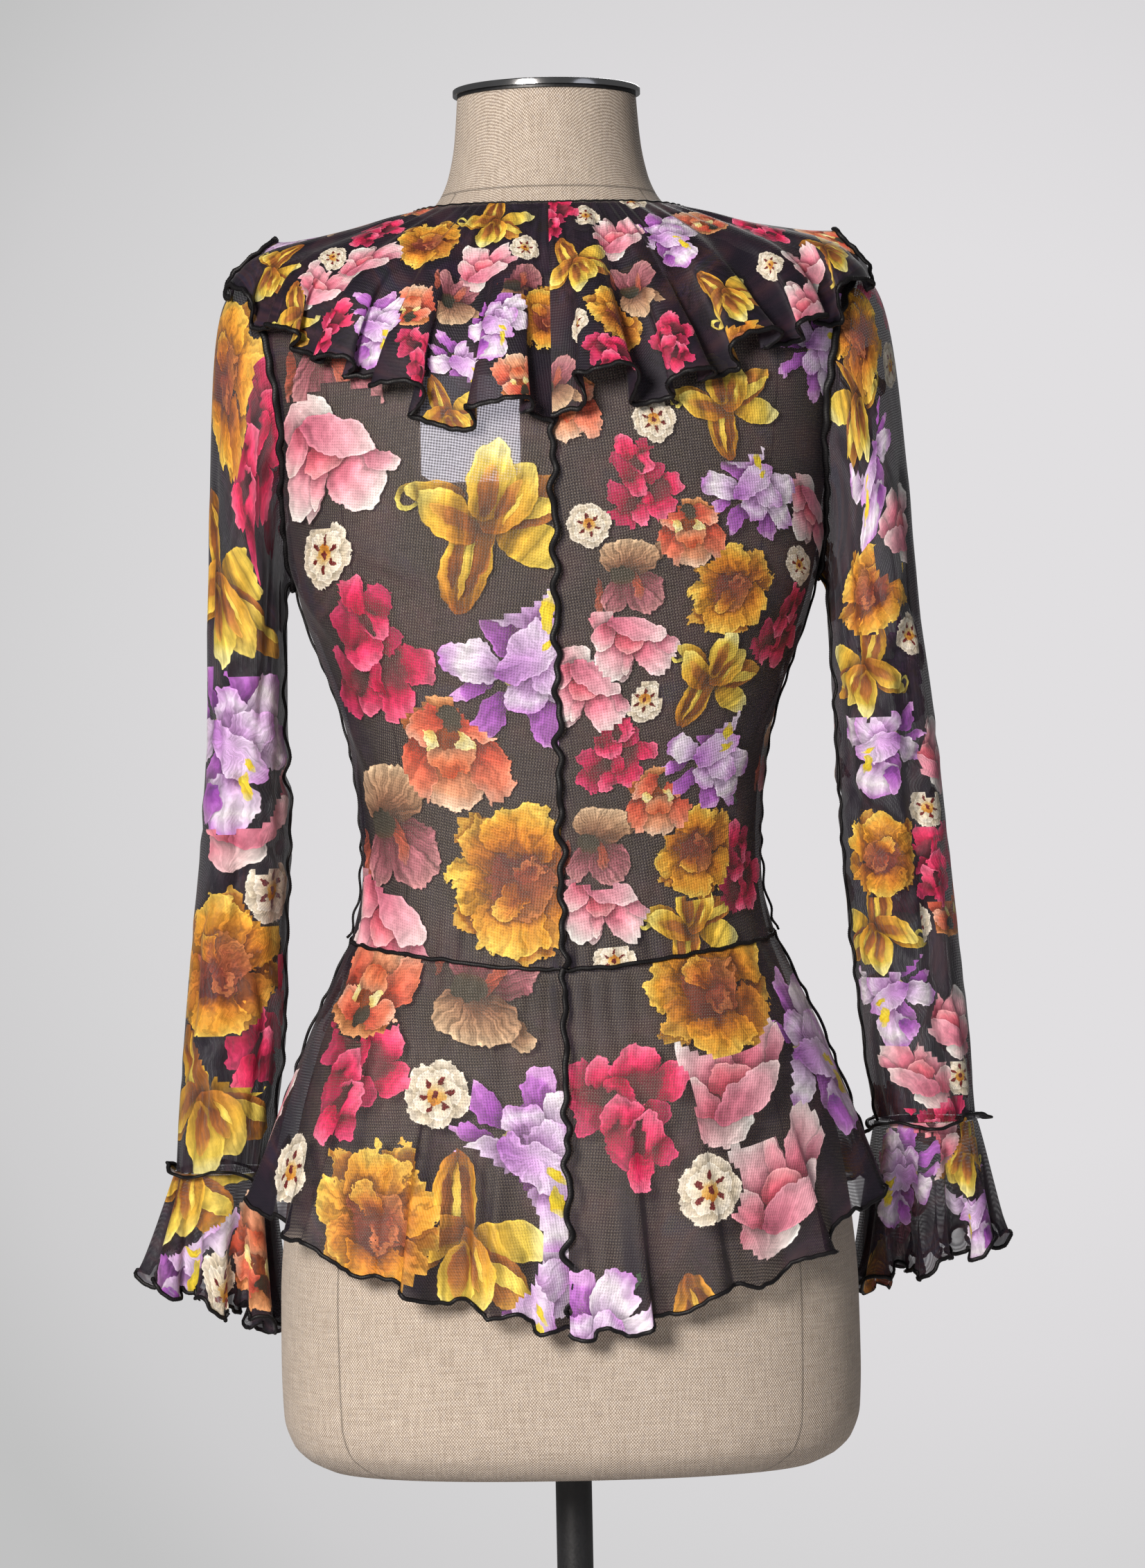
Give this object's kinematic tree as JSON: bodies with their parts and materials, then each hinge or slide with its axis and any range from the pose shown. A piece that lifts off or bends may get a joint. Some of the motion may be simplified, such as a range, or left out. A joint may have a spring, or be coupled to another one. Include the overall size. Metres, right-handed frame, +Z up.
{
  "type": "ruffled blouse on dress form",
  "caption": "Long-sleeved mesh blouse with a ruffled collar, frilled cuffs and a flared peplum, worn on a limbless dress form on a pole and round base.",
  "frame": {"origin": "centre of the round base's underside, on the pole's axis, on the surface that it stands on", "axes": "+Z up; -Y is the garment's back, the side that the picture shows; +Y is its front; +X is the wearer's right"},
  "size_m": [0.5362, 0.32, 1.104],
  "materials": {
    "printed_mesh": "matt sheer knitted mesh, printed with flowers on black",
    "white_label": "smooth white satin label, blank",
    "linen_cover": "coarse natural linen, stretched smooth",
    "polished_steel": "dark polished steel",
    "black_coated_steel": "satin black powder coat"
  },
  "bodies": {
    "root": {"back_left": "printed_mesh", "back_right": "printed_mesh", "front": "printed_mesh", "sleeve_left": "printed_mesh", "sleeve_right": "printed_mesh", "cuff_left": "printed_mesh", "cuff_right": "printed_mesh", "peplum_back_left": "printed_mesh", "peplum_back_right": "printed_mesh", "peplum_front": "printed_mesh", "collar_left": "printed_mesh", "collar_right": "printed_mesh", "label": "white_label", "form_torso": "linen_cover", "neck_cap": "polished_steel", "pole": "black_coated_steel", "base": "black_coated_steel"}
  },
  "joints": []
}
